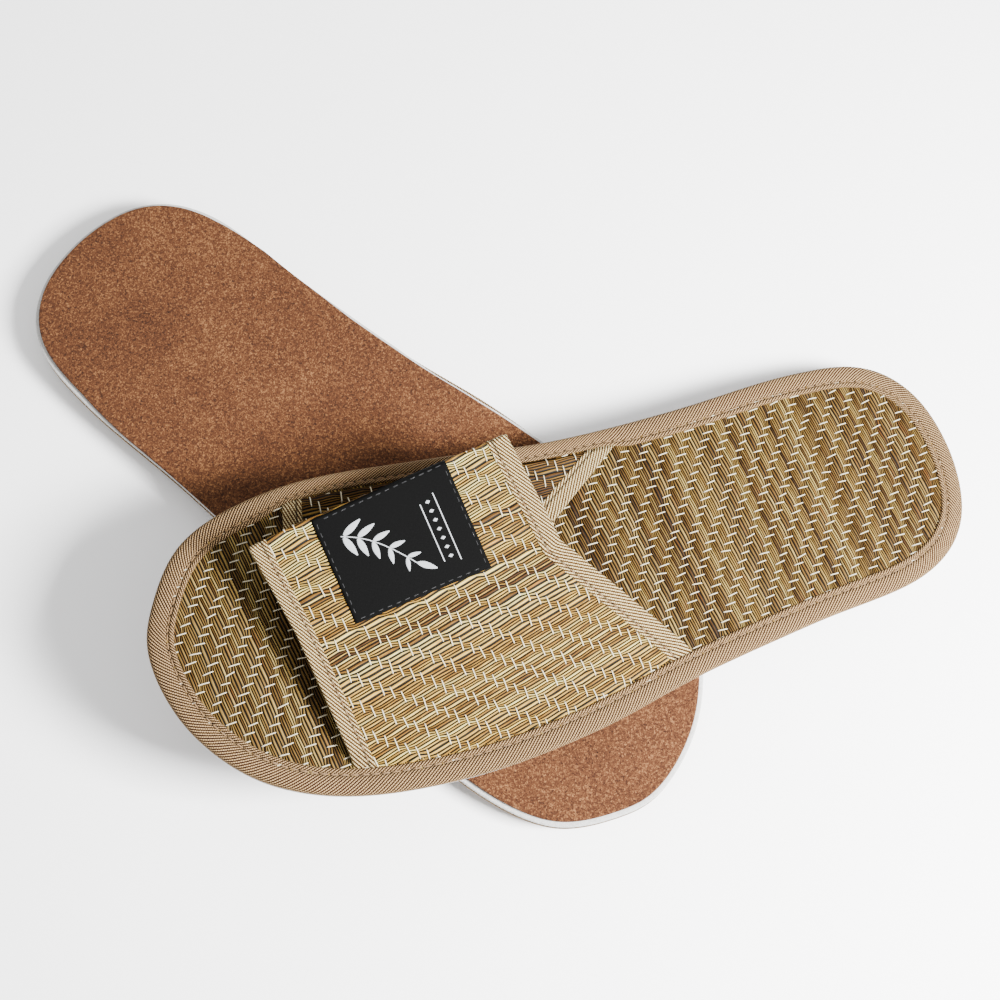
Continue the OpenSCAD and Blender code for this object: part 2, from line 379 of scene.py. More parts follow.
class Outline:
    """The footbed's edge, from the foam layer's ring of points."""

    def __init__(self, side, world, count=480):
        foam_inset = 0.7
        ring = apply(np.linalg.inv(world), node_points(side + "_foam_midsole"))[:, :2]
        ring = np.unique(np.round(ring, 3), axis=0)
        ring = ring[np.argsort(np.arctan2(ring[:, 1], ring[:, 0]))]
        keep = np.linalg.norm(ring - np.roll(ring, 1, 0), axis=1) > 0.02
        ring = self.even(ring[keep], count)
        for _ in range(2):
            ring = 0.25 * np.roll(ring, 1, 0) + 0.5 * ring + 0.25 * np.roll(ring, -1, 0)
        inward = self.inward(ring)
        self.points = self.even(ring - inward * foam_inset, count)
        self.normals = self.inward(self.points)
        self.at = lengths(np.concatenate([self.points, self.points[:1]]))
        self.length = self.at[-1]

    @staticmethod
    def even(ring, count):
        """The ring as a number of evenly spaced points."""
        closed = np.concatenate([ring, ring[:1]])
        at = lengths(closed)
        where = np.arange(count) / count * at[-1]
        return np.stack([np.interp(where, at, closed[:, k]) for k in (0, 1)], 1)

    @staticmethod
    def inward(ring):
        """The way in from the ring at each of its points."""
        along = np.roll(ring, -2, 0) - np.roll(ring, 2, 0)
        along /= np.linalg.norm(along, axis=1, keepdims=True)
        return np.stack([-along[:, 1], along[:, 0]], 1)

    def place(self, s, inset):
        """Points at the lengths s round the edge, moved inwards."""
        s = np.mod(s, self.length)
        p = np.concatenate([self.points, self.points[:1]])
        n = np.concatenate([self.normals, self.normals[:1]])
        x, y, nx, ny = (np.interp(s, self.at, v) for v in (p[:, 0], p[:, 1], n[:, 0], n[:, 1]))
        return np.stack([x + nx * inset, y + ny * inset], -1)

    def nearest(self, xy):
        """How far each point lies inside the edge, and the way in from the edge there."""
        depth, way = np.empty(len(xy)), np.empty((len(xy), 2))
        some = 20000
        for k in range(0, len(xy), some):
            gap = xy[k:k + some, None] - self.points[None]
            near = np.argmin((gap ** 2).sum(2), 1)
            rows = np.arange(len(near))
            way[k:k + some] = self.normals[near]
            depth[k:k + some] = (gap[rows, near] * self.normals[near]).sum(1)
        return depth, way

    def spans(self, inset):
        """The lowest and highest y of the inset edge as functions of x."""
        ring = self.points + self.normals * inset
        low, high = ring[:, 0].argmin(), ring[:, 0].argmax()
        ring = np.roll(ring, -low, 0)
        high = (high - low) % len(ring)
        first, second = ring[:high + 1], np.concatenate([ring[high:], ring[:1]])[::-1]
        if first[:, 1].mean() > second[:, 1].mean():
            first, second = second, first
        return (ring[0, 0], ring[high, 0],
                lambda x: np.interp(x, first[:, 0], first[:, 1]),
                lambda x: np.interp(x, second[:, 0], second[:, 1]))


# ---------------------------------------------------------------- woven rush

class Weave:
    """A mat of rush straws in picks, held by a white warp that passes over two picks and under
    two, one pick further on in each next column. a runs along the straws and b across them."""

    def __init__(self, pick, column, lean, squeeze, lift, straws, straw_h, base, seed):
        self.pick, self.column, self.lean = pick, column, lean
        self.squeeze, self.lift = squeeze, lift
        self.straws, self.straw_h, self.base = straws, straw_h, base
        self.random = np.random.default_rng(seed)
        self.waves = self.random.uniform(0, 2 * math.pi, 6)

    def wobble(self, a, b):
        """The mat's slow waves across the straws."""
        w = self.waves
        return (0.14 * np.sin(a / 8.3 + b / 9 + w[0]) + 0.1 * np.sin(a / 5.1 - b / 6 + w[1])
                + 0.3 * np.sin(a / 31 + b / 37 + w[2]))

    def pull(self, a, b):
        """Sideways pull on the straws and their height, from the warp of the two nearest columns."""
        c = a / self.column
        first = np.floor(c)
        share = c - first
        steps, pulls = (-2, -1.5, -0.5, 0.5, 1.5, 2), (0, 0.33, 1, -1, -0.33, 0)
        sideways, up = 0, 0
        for column, weight in ((first, 1 - share), (first + 1, share)):
            t = np.mod(b / self.pick - self.lean * column + 1, 4) - 2
            sideways = sideways + weight * np.interp(t, steps, pulls)
            up = up - weight * np.cos(math.pi * t / 2)
        return sideways * self.squeeze, up * self.lift

    def straw_rows(self, low, high):
        """Each row's place across the mat, its height in its straw and the straw's tone."""
        place, height, tone = [], [], []
        for p in range(math.floor(low / self.pick) - 1, math.ceil(high / self.pick) + 1):
            n = self.random.choice(self.straws)
            share = self.random.uniform(0.65, 1.35, n)
            ends = np.concatenate([[0], np.cumsum(share / share.sum())])
            pick_tone = self.random.normal(0, 0.1)
            for k in range(n):
                straw_tone = 0.5 + pick_tone + self.random.normal(0, 0.17)
                tall = self.random.uniform(0.75, 1.1)
                for f, h in ((0, -0.3), (0.17, 0.0), (0.36, 0.95 * tall), (0.67, tall), (0.85, 0.0)):
                    place.append((p + ends[k] + (ends[k + 1] - ends[k]) * f) * self.pick)
                    height.append(h)
                    tone.append(straw_tone)
        place, height, tone = np.array(place), np.array(height), np.clip(tone, 0, 1)
        keep = (place > low) & (place < high)
        return place[keep], height[keep], tone[keep]

    def mat(self, name, low, high, start, stop, columns, back, put, flip):
        """The straws as one closed sheet. low(b) and high(b) are its side edges."""
        place, height, tone = self.straw_rows(start, stop)
        share = np.linspace(0, 1, columns)
        b = np.repeat(place[:, None], columns, 1)
        a = low(place)[:, None] * (1 - share) + high(place)[:, None] * share
        sideways, up = self.pull(a, b)
        w = self.base + up + np.maximum(height, -0.5)[:, None] * self.straw_h
        w += 0.05 * np.sin(a / 2.3 + tone[:, None] * 40)
        # Painted shade: shade is 0 in the valleys between straws and a little lower where the warp presses a straw
        # down, and the material darkens the straws by it.
        shade = np.clip(height, 0, 1)[:, None] * (0.88 + 0.12 * (up / self.lift))
        tones = np.repeat(tone[:, None], columns, 1)
        moved = b + sideways + self.wobble(a, b)
        a, b, moved, w = (np.concatenate([v, v[:, -1:], v[:, :1]], 1) for v in (a, b, moved, w))
        shade, tones = (np.concatenate([v, v[:, -1:], v[:, :1]], 1) for v in (shade, tones))
        w[:, -2:] = back
        flat = np.full((1, w.shape[1]), back)
        a, b, moved, shade, tones = (np.concatenate([v[:1], v, v[-1:]]) for v in (a, b, moved, shade, tones))
        w = np.concatenate([flat, w, flat])
        return grid_object(name, put, (a, moved, w), (a, b), {"tone": tones, "shade": shade},
                           close_columns=True, flip=flip)

    def warp(self, name, low, high, start, stop, wide, top, put, hidden=lambda a, b: False):
        """The white threads that show, each over two picks with its ends pulled down."""
        a, b = [], []
        spread = max(abs(high(v)) + abs(low(v)) for v in (start, (start + stop) / 2, stop))
        for c in range(math.floor(-spread / self.column), math.ceil(spread / self.column) + 1):
            for k in range(math.floor(start / self.pick / 4) - 60, math.ceil(stop / self.pick / 4) + 60):
                middle = self.pick * (1 + self.lean * c + 4 * k)
                if start + self.pick * 0.4 < middle < stop - self.pick * 0.4:
                    inside = low(middle) + 0.6 < c * self.column < high(middle) - 0.6
                    if inside and not hidden(c * self.column, middle):
                        a.append(c * self.column)
                        b.append(middle)
        a, b = np.array(a), np.array(b)
        n = len(a)
        t = np.linspace(-1, 1, 9)
        reach = self.pick * self.random.uniform(0.86, 1.02, n)
        slant = self.random.normal(0, 0.12, n)
        line_a = a[:, None] + self.random.normal(0, 0.09, n)[:, None] + slant[:, None] * t
        line_b = b[:, None] + t * reach[:, None]
        line_b = line_b + self.wobble(line_a, np.repeat(b[:, None], 9, 1))
        line_w = top - 0.1 * t ** 2 - 0.75 * np.abs(t) ** 9 + self.random.uniform(-0.04, 0, n)[:, None]
        line = put(line_a.ravel(), line_b.ravel(), line_w.ravel()).reshape(n, 9, 3)
        above = put(line_a.ravel(), line_b.ravel(), line_w.ravel() + 1).reshape(n, 9, 3)
        return tubes(name, line, above - line, wide / 2, wide * 0.34)


# ---------------------------------------------------------------- tapes and cloth

def rib_height(s, q, pitch, angle):
    """Height of a twill tape's ribs at s along it and q across it, from 0 to 1."""
    return np.sin(math.pi * (s * math.sin(angle) + q * math.cos(angle)) / pitch) ** 2


def tape(name, s, profile, put, flip, ribs, hand=1, closed=False):
    """A ribbed tape: profile is a closed ring of (inset, height), ribs is (pitch, angle, depth)."""
    ring = np.concatenate([profile, profile[:1]])
    q = lengths(ring)[:-1]
    along = np.roll(profile, -1, 0) - np.roll(profile, 1, 0)
    out = np.stack([along[:, 1], -along[:, 0]], 1) / np.linalg.norm(along, axis=1, keepdims=True)
    out *= np.sign(((profile - profile.mean(0)) * out).sum())
    ss, qq = np.meshgrid(s, q, indexing="ij")
    rib = rib_height(ss * hand, qq, *ribs[:2])
    e = profile[:, 0][None] + out[:, 0][None] * (rib - 1) * ribs[2]
    h = profile[:, 1][None] + out[:, 1][None] * (rib - 1) * ribs[2]
    if not closed:
        middle = 0.5 * (profile[:, 1].max() + profile[:, 1].min())
        e, ss, qq, rib = (np.concatenate([v[:1], v, v[-1:]]) for v in (e, ss, qq, rib))
        h = np.concatenate([np.full((1, len(q)), middle), h, np.full((1, len(q)), middle)])
    return grid_object(name, put, (ss, e, h), (ss * hand, qq),
                       close_rows=closed, close_columns=True, flip=flip)


def spaced(points, step):
    """The points of a line, evenly spaced and with both its ends."""
    line = np.asarray(points, float)
    at = lengths(line)
    where = np.linspace(0, at[-1], int(at[-1] / step) + 1)
    return np.stack([np.interp(where, at, line[:, k]) for k in (0, 1)], 1)


def cloth_sheet(name, low, high, start, stop, rows, columns, face, back, put, flip):
    """A thin closed sheet between heights back and face, whose two faces meet at its ends."""
    b = np.linspace(start, stop, rows)
    share = np.linspace(0, 1, columns)
    a = low(b)[:, None] * (1 - share) + high(b)[:, None] * share
    b = np.repeat(b[:, None], columns, 1)
    aa = np.concatenate([a, a[:, ::-1]], 1)
    bb = np.concatenate([b, b], 1)
    w = np.concatenate([np.full_like(a, face), np.full_like(a, back)], 1)
    middle = np.full((1, w.shape[1]), (face + back) / 2)
    aa, bb = (np.concatenate([v[:1], v, v[-1:]]) for v in (aa, bb))
    w = np.concatenate([middle, w, middle])
    thing = grid_object(name, put, (aa, bb, w), (aa, bb), close_columns=True, flip=flip)
    made = bmesh.new()
    made.from_mesh(thing.data)
    bmesh.ops.remove_doubles(made, verts=made.verts, dist=1e-6)
    made.to_mesh(thing.data)
    made.free()
    return thing


def split(thing, name, point, normal):
    """Moves what lies behind a plane into a new piece, which meets the first one at the cut."""
    other = thing.copy()
    other.data = thing.data.copy()
    other.name = name
    if "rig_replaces" in other:
        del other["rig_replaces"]
    bpy.context.scene.collection.objects.link(other)
    for piece, hand in ((thing, 1), (other, -1)):
        made = bmesh.new()
        made.from_mesh(piece.data)
        away = Vector(normal) * hand
        gone = [f for f in made.faces if (f.calc_center_median() - Vector(point)).dot(away) < 0]
        bmesh.ops.delete(made, geom=gone, context="FACES")
        made.to_mesh(piece.data)
        made.free()
    return other


def smooth(x):
    """A soft step from 0 to 1."""
    x = np.clip(x, 0, 1)
    return x * x * (3 - 2 * x)


def longer(line, extra=3.5):
    """An edge line that starts a little earlier, under the sole's edge binding."""
    line = line.astype(float)
    step = line[1] - line[0]
    line[0] -= step / np.linalg.norm(step) * extra
    return line


def cut(low, high, start, stop):
    """A cloth's flat size and area in metres, between two lines."""
    at = np.linspace(start, stop, 400)
    left, right = low(at), high(at)
    size = ((right.max() - left.min()) * MM, (stop - start) * MM)
    return {"flat": size, "area": float((right - left).mean()) * (stop - start) * MM * MM}


def line_of(points):
    """A polyline of (along, across) points as a function of the place across."""
    points = np.asarray(points, float)
    return lambda b: np.interp(b, points[:, 1], points[:, 0])


# ---------------------------------------------------------------- materials

# From a wanted colour in the picture to a base colour
BASE_SCALE = 0.5
BASE_POWER = 1.29


def colour(r, g, b):
    """A base colour that comes out as sRGB r, g, b (0 to 255) under the studio light."""
    linear = [v / 12.92 if v <= 0.04045 else ((v + 0.055) / 1.055) ** 2.4
              for v in (r / 255, g / 255, b / 255)]
    return (*[min(BASE_SCALE * v ** BASE_POWER, 0.9) for v in linear], 1)


def base_colour(look):
    """The base colour of a triple for colour(), or of one number for a plain grey."""
    return colour(*look) if isinstance(look, tuple) else (look, look, look, 1)


class Paint:
    """A procedural material and short ways to wire its nodes."""

    def __init__(self, name, roughness, specular, sheen=0.0):
        self.material = bpy.data.materials.new(name)
        self.material.use_nodes = True
        self.nodes = self.material.node_tree.nodes
        self.links = self.material.node_tree.links
        self.shader = self.nodes["Principled BSDF"]
        self.shader.inputs["Roughness"].default_value = roughness
        self.shader.inputs["Specular IOR Level"].default_value = specular
        self.shader.inputs["Sheen Weight"].default_value = sheen
        self.shader.inputs["Sheen Roughness"].default_value = 0.5

    def plug(self, socket, value):
        """Wires a value into a socket, or sets it there."""
        if isinstance(value, bpy.types.NodeSocket):
            self.links.new(value, socket)
        else:
            socket.default_value = value

    def node(self, kind, **inputs):
        made = self.nodes.new(kind)
        for key, value in inputs.items():
            self.plug(made.inputs[key], value)
        return made

    def math(self, operation, *values):
        made = self.nodes.new("ShaderNodeMath")
        made.operation = operation
        for socket, value in zip(made.inputs, values):
            self.plug(socket, value)
        return made.outputs[0]

    def add(self, *values):
        """The sum of the values, taken in their order."""
        total = values[0]
        for value in values[1:]:
            total = self.math("ADD", total, value)
        return total

    def times(self, first, second):
        return self.math("MULTIPLY", first, second)

    def around(self, value, size):
        """A value's distance from 0.5, times size."""
        return self.times(self.math("SUBTRACT", value, 0.5), size)

    def stripes(self, phase):
        """Rounded stripes, one for each whole number of the phase."""
        return self.math("ABSOLUTE", self.math("SINE", self.times(phase, math.pi)))

    def parts(self, source, kind="XYZ"):
        """The parts of a vector or a colour."""
        made = self.nodes.new("ShaderNodeSeparate" + kind)
        self.links.new(source, made.inputs[0])
        return made.outputs

    def vector(self, source, scale):
        made = self.node("ShaderNodeMapping", Vector=source, Scale=scale)
        return made.outputs[0]

    def cloth(self):
        made = self.nodes.new("ShaderNodeUVMap")
        made.uv_map = "cloth"
        return made.outputs[0]

    def place(self):
        return self.nodes.new("ShaderNodeTexCoord").outputs["Object"]

    def value(self, name):
        made = self.nodes.new("ShaderNodeAttribute")
        made.attribute_name = name
        return made.outputs["Fac"]

    def noise(self, vector, scale, detail, roughness):
        made = self.node("ShaderNodeTexNoise", Vector=vector, Scale=scale, Detail=detail,
                         Roughness=roughness)
        return made.outputs["Fac"]

    def cells(self, vector, scale, output):
        made = self.node("ShaderNodeTexVoronoi", Vector=vector, Scale=scale)
        return made.outputs[output]

    def ramp(self, source, *stops):
        made = self.nodes.new("ShaderNodeValToRGB")
        self.links.new(source, made.inputs[0])
        elements = made.color_ramp.elements
        while len(elements) < len(stops):
            elements.new(0.5)
        for element, (position, look) in zip(elements, stops):
            element.position = position
            element.color = base_colour(look)
        return made.outputs[0]

    def mix(self, factor, first, look):
        made = self.nodes.new("ShaderNodeMix")
        made.data_type = "RGBA"
        for number, value in ((0, factor), (6, first), (7, base_colour(look))):
            self.plug(made.inputs[number], value)
        return made.outputs[2]

    def bump(self, height, strength, distance):
        made = self.node("ShaderNodeBump", Height=height, Strength=strength, Distance=distance * MM)
        return made.outputs[0]

    def finish(self, base, normal=None):
        self.links.new(base, self.shader.inputs["Base Color"])
        if normal is not None:
            self.links.new(normal, self.shader.inputs["Normal"])
        return self.material


def rush(name, dark, low, middle, high, red, gap):
    """Dried straws: streaks along them, reddish patches, dark flecks, and painted shade in the gaps between them."""
    p = Paint(name, 0.6, 0.1)
    cloth = p.cloth()
    streak = p.noise(p.vector(cloth, (1.2, 70, 1)), 1.0, 4, 0.65)
    fleck = p.noise(p.vector(cloth, (2.4, 60, 1)), 1.0, 3, 0.6)
    patch = p.noise(p.vector(cloth, (0.6, 3.6, 1)), 1.0, 2, 0.5)
    tone = p.add(p.value("tone"), p.around(streak, 1.6), p.around(patch, 0.5))
    base = p.ramp(tone, (0.0, dark), (0.3, low), (0.55, middle), (0.95, high))
    reddish = p.ramp(patch, (0.6, 0), (0.72, 1))
    base = p.mix(p.times(reddish, 0.4), base, red)
    flecks = p.ramp(fleck, (0.62, 0), (0.72, 1))
    base = p.mix(p.times(flecks, 0.45), base, dark)
    # Painted shade: the gap colour is mixed in where the shade value is low, in the valleys between straws.
    depth = p.ramp(p.value("shade"), (0.0, 1), (0.25, 0.95), (0.6, 0.4), (0.9, 0))
    base = p.mix(depth, base, gap)
    return p.finish(base, p.bump(streak, 0.6, 0.12))


def twill(name, light, middle, dark, pitch, angle, groove):
    """Ribbed tape: the ribs cross the tape at an angle, each a bundle of fine yarns, with painted highlight on their
    crests and painted shade between them.
    """
    p = Paint(name, 0.8, 0.1)
    cloth = p.cloth()
    u, v, _ = p.parts(cloth)
    along, across = p.times(u, 10 * math.sin(angle) / pitch), p.times(v, 10 * math.cos(angle) / pitch)
    wander = p.noise(cloth, 9.0, 3, 0.6)
    phase = p.add(along, p.add(across, p.around(wander, 0.35)))
    rib = p.math("POWER", p.stripes(phase), 1.2)
    ply = p.math("SUBTRACT", p.times(u, 10 * math.cos(angle) / YARN), p.times(v, 10 * math.sin(angle) / YARN))
    yarn = p.stripes(p.add(ply, p.times(p.math("FLOOR", phase), 0.43)))
    fuzz = p.noise(cloth, 90.0, 3, 0.7)
    height = p.add(rib, p.times(yarn, 0.4), p.times(fuzz, 0.25))
    # Painted highlight and shade: the colour follows the ribs' height, light on the crests and dark between them; the
    # yarns and the fuzz add the tape's own texture.
    tone = p.add(p.times(rib, 0.68), p.times(yarn, 0.2), p.around(fuzz, 0.6))
    base = p.ramp(tone, (0.24, dark), (0.62, middle), (0.9, light))
    # Painted shade: a dark line along the sunk stitch groove, whose place across the tape in millimetres is groove.
    aside = p.math("ABSOLUTE", p.math("SUBTRACT", p.times(v, 10), groove))
    painted_groove_shade = p.ramp(aside, (0.12, 0.8), (0.5, 0))
    base = p.mix(painted_groove_shade, base, dark)
    return p.finish(base, p.bump(height, 0.9, 0.3))


def thread(name, light, dark, pitch):
    """Twisted yarn: fine slanted plies along each thread."""
    p = Paint(name, 0.8, 0.25, 0.2)
    u, v, _ = p.parts(p.cloth())
    ply = p.stripes(p.add(p.times(u, 10 / pitch), p.times(v, 16)))
    base = p.ramp(ply, (0.0, dark), (0.7, light))
    return p.finish(base, p.bump(ply, 0.6, 0.06))


def cork(name):
    """Pressed cork: grains of two sizes, mottled, with dark pits."""
    p = Paint(name, 0.9, 0.2)
    place = p.vector(p.place(), (1000, 1000, 1000))
    grain = p.parts(p.cells(place, 1.5, "Color"), "Color")[0]
    fine = p.parts(p.cells(place, 3.2, "Color"), "Color")[1]
    mottle = p.noise(place, 1.9, 4, 0.8)
    cloud = p.noise(place, 0.04, 3, 0.5)
    tone = p.add(p.times(grain, 0.2), p.times(fine, 0.24), p.times(mottle, 0.6), p.around(cloud, 0.2))
    base = p.ramp(tone, (0.28, (62, 36, 19)), (0.42, (107, 69, 42)), (0.58, (130, 88, 57)),
                  (0.76, (186, 140, 98)))
    pits = p.ramp(p.noise(place, 0.8, 3, 0.7), (0.33, 1), (0.37, 0))
    base = p.mix(p.times(pits, 0.8), base, (74, 46, 30))
    height = p.add(p.times(mottle, 0.9), p.times(grain, 0.4))
    height = p.math("SUBTRACT", height, p.times(pits, 0.8))
    return p.finish(base, p.bump(height, 0.8, 0.3))


def foam(name, light, dark, roughness):
    """A soft or pressed sheet with fine pores."""
    p = Paint(name, roughness, 0.4)
    place = p.vector(p.place(), (1000, 1000, 1000))
    pores = p.cells(place, 2.2, "Distance")
    soft = p.noise(place, 0.6, 4, 0.6)
    base = p.ramp(p.add(p.times(pores, 0.5), p.times(soft, 0.6)), (0.2, dark), (0.7, light))
    return p.finish(base, p.bump(p.add(pores, soft), 0.4, 0.12))


def satin(name):
    """The label's black ground."""
    p = Paint(name, 0.8, 0.05)
    cloth = p.cloth()
    lines = p.noise(p.vector(cloth, (120, 14, 1)), 1.0, 2, 0.5)
    cross = p.noise(p.vector(cloth, (10, 90, 1)), 1.0, 2, 0.5)
    weave = p.add(p.times(lines, 0.6), p.times(cross, 0.5))
    base = p.ramp(weave, (0.3, 0.0), (0.75, 0.0018))
    return p.finish(base, p.bump(weave, 0.5, 0.08))


def plain_cloth(name, light, dark):
    """Cotton in plain weave."""
    p = Paint(name, 0.85, 0.2, 0.2)
    cloth = p.cloth()
    over = p.noise(p.vector(cloth, (6, 60, 1)), 1.0, 2, 0.5)
    under = p.noise(p.vector(cloth, (60, 6, 1)), 1.0, 2, 0.5)
    weave = p.add(over, under)
    base = p.ramp(p.times(weave, 0.5), (0.3, dark), (0.6, light))
    return p.finish(base, p.bump(weave, 0.5, 0.1))


def floor_paint():
    """An almost white floor."""
    p = Paint("floor", 0.9, 0.1)
    soft = p.noise(p.place(), 3.0, 2, 0.5)
    return p.finish(p.ramp(soft, (0.3, 0.98), (0.7, 0.99)))


# How unevenly the lower slipper's cork and foam were cut: side of the foot, stations along it,
# further insets
STATIONS = (-50, -9, 10, 28, 47, 66, 88, 110)
CORK_TRIMS = {"left": (), "right": ((-1, STATIONS, (0, 1.2, 0.9, 0.3, 0.1, -0.8, -1.3, 0)),
                                    (1, (0, 30, 55, 77, 100), (0, -1.4, -1.4, -1.2, 0)))}
FOAM_TRIMS = {"left": (), "right": ((-1, STATIONS, (0, 1.8, 1.6, 0.6, 0.4, 0.3, 0.1, 0)),)}

# Width of the tapes' yarns, and each tape's ribs as pitch, angle and depth
YARN = 0.75
EDGE_RIBS = (0.84, math.radians(40), 0.2)
BAND_RIBS = (0.95, math.radians(28), 0.15)
# The last colour of each rush is painted shade for the gaps between its straws, and each twill's dark colour is
# painted shade between its ribs and in its stitch groove.
PAINTS = {name: make(name, *looks) for name, make, *looks in (
    ("rush_footbed", rush, (84, 58, 24), (130, 100, 50), (168, 138, 78), (208, 184, 120),
     (148, 82, 40), (20, 12, 4)),
    ("rush_band", rush, (98, 66, 24), (180, 138, 62), (238, 202, 112), (255, 250, 182),
     (188, 118, 50), (16, 9, 3)),
    # A darker copy of the band's rush for the far flap: painted shade on the band's inner side.
    ("rush_inner", rush, (62, 38, 12), (102, 70, 26), (136, 102, 46), (176, 144, 78),
     (118, 66, 26), (14, 7, 2)),
    ("edge_twill", twill, (236, 206, 162), (122, 90, 58), (34, 20, 9), *EDGE_RIBS[:2], 5.2),
    ("band_twill", twill, (255, 248, 204), (172, 132, 80), (38, 22, 8), *BAND_RIBS[:2], 2.2),
    ("warp", thread, (255, 246, 220), (206, 190, 154), 0.5),
    ("thread", thread, (184, 150, 106), (118, 86, 50), 0.5),
    ("label_satin", satin),
    ("label_thread", thread, (52, 52, 56), (28, 28, 31), 0.4),
    ("motif", thread, (226, 229, 232), (150, 154, 160), 0.35),
    ("cork", cork),
    ("foam", foam, (248, 247, 244), (206, 205, 202), 0.75),
    ("pad", foam, (236, 234, 226), (206, 202, 192), 0.85),
    ("board", foam, (176, 150, 112), (134, 108, 76), 0.9),
    ("lining", plain_cloth, (226, 214, 188), (190, 172, 138)),
)}


# ---------------------------------------------------------------- a slipper

class Slipper:
    """One slipper: its frame, the shape its band lies in, and its pieces."""

    def __init__(self, side):
        self.side = side
        self.flip = side == "right"
        self.world, self.seam_z = slipper_frame(side)
        self.outline = Outline(side, self.world)
        self.fold = FOLD[side]
        self.crown = CROWN[side]
        along = PANEL_REAR[2] - PANEL_FRONT[2]
        self.crest_length = float(np.linalg.norm(along))
        self.crest_turn = math.degrees(math.atan2(along[1], along[0]))
        self.seam = shift(*SEAM_START, self.seam_z) @ turn("X", SLOPE[side]) @ shift(0, 0, RISE[side])
        self.crest = self.seam @ shift(*PANEL_FRONT[2], -CREASE_R) @ turn("Z", self.crest_turn)
        far = np.subtract(FAR_END, FAR_START)
        self.far_length = float(np.linalg.norm(far))
        self.far = shift(*FAR_START, self.seam_z) @ turn("Z", math.degrees(math.atan2(far[1], far[0])))

    # places: each takes flat arrays in millimetres and gives points in the CAD frame

    def on_sole(self, x, y, z):
        return apply(self.world, np.stack([x, y, z], -1))

    def on_footbed(self, a, b, w):
        return self.on_sole(b, a, MAT_TOP + w)

    def on_edge(self, s, inset, z):
        foot = self.outline.place(s, 0)
        here = ((foot[:, 1] > 0) * smooth((foot[:, 0] - FAR_SPAN[0]) / FAR_SPAN_SOFT)
                * smooth((FAR_SPAN[1] - foot[:, 0]) / FAR_SPAN_SOFT))
        xy = self.outline.place(s, inset * (1 - here * (1 - FAR_BINDING_W / BINDING_W)))
        return self.on_sole(xy[:, 0], xy[:, 1], z)

    def sink(self, local, top, width):
        """Lowers what would stand over the sole's edge binding, so that it runs in under it."""
        near = top > 0
        depth, way = self.outline.nearest(local[near, :2])
        local[near, :2] += way * np.maximum(INSIDE_EDGE - depth, 0)[:, None]
        past = depth - width
        limit = UNDER_BINDING + np.where(past > 0, past * 0.9, past * 1.6)
        limit = np.maximum(limit, UNDER_BINDING_LEAST)
        local[near, 2] -= np.maximum(0, top[near] - limit)
        return apply(self.world, local)

    def on_band(self, a, b, w):
        """The cloth over the crest: b is 0 where the crease starts, and w is off its middle."""
        def local(w):
            angle = np.clip(b / CREASE_R, 0, self.fold)
            past = np.maximum(b - CREASE_R * self.fold, 0)
            y = np.minimum(b, 0) + (CREASE_R + w) * np.sin(angle) + past * math.cos(self.fold)
            z = (CREASE_R + w) * np.cos(angle) - past * math.sin(self.fold)
            slack = smooth((14 - a) / 14) * np.clip(1 + y / 30, 0, 1)
            z = z + self.crown * np.sin(math.pi * np.clip(-y / 80, 0, 1))
            return apply(self.crest, np.stack([a - 2.0 * slack, y - 1.1 * slack, z], -1))
        top = local(np.full_like(a, 0.35))[:, 2]
        top[b > -45] = NOT_SUNK
        return self.sink(local(w), top, BINDING_W)

    def on_far(self, a, b, w):
        """The far flap, which bends up at the tuck: the line between its two inner corners."""
        bent = TUCK[self.side]
        corner = np.array(FAR_FRONT_END)
        tuck = np.array([self.far_length, 0]) + FAR_REAR_END - corner
        tuck /= np.linalg.norm(tuck)
        da, db = a - corner[0], b - corner[1]
        along, past = da * tuck[0] + db * tuck[1], da * tuck[1] - db * tuck[0]
        angle = np.clip(past / CREASE_R, 0, bent)
        more = np.maximum(past - CREASE_R * bent, 0)
        out = np.minimum(past, 0) + (CREASE_R - w) * np.sin(angle) + more * math.cos(bent)
        up = CREASE_R - (CREASE_R - w) * np.cos(angle) + more * math.sin(bent)
        flat = np.stack([corner[0] + along * tuck[0] + out * tuck[1],
                         corner[1] + along * tuck[1] - out * tuck[0], up], -1)
        top = np.where(b > -8, self.seam_z + 0.35, NOT_SUNK)
        return self.sink(apply(self.far, flat), top, FAR_BINDING_W)

    def crest_frame(self, points):
        """Panel points as (along the crest, across it)."""
        c, s = math.cos(math.radians(self.crest_turn)), math.sin(math.radians(self.crest_turn))
        moved = np.asarray(points) - PANEL_FRONT[2]
        return np.stack([moved[:, 0] * c + moved[:, 1] * s, moved[:, 1] * c - moved[:, 0] * s], 1)

    def edges(self):
        """The band's front and rear edge from the lateral seam over the crest to the tuck."""
        bend = CREASE_R * self.fold
        end = bend + CREASE_GAP
        front = np.concatenate([self.crest_frame(longer(PANEL_FRONT)),
                                [[0, bend], [MID_FRONT_END[0], end + MID_FRONT_END[1]]]])
        rear = np.concatenate([self.crest_frame(longer(PANEL_REAR)),
                               [[self.crest_length, bend],
                                [self.crest_length + MID_REAR_END[0], end + MID_REAR_END[1]]]])
        return front, rear

    # pieces

    def dress(self, thing, paint, slot, nodes=()):
        """The same as dress, with this slipper's names of the CAD nodes."""
        return dress(thing, PAINTS[paint], slot, [f"{self.side}_{node}" for node in nodes])

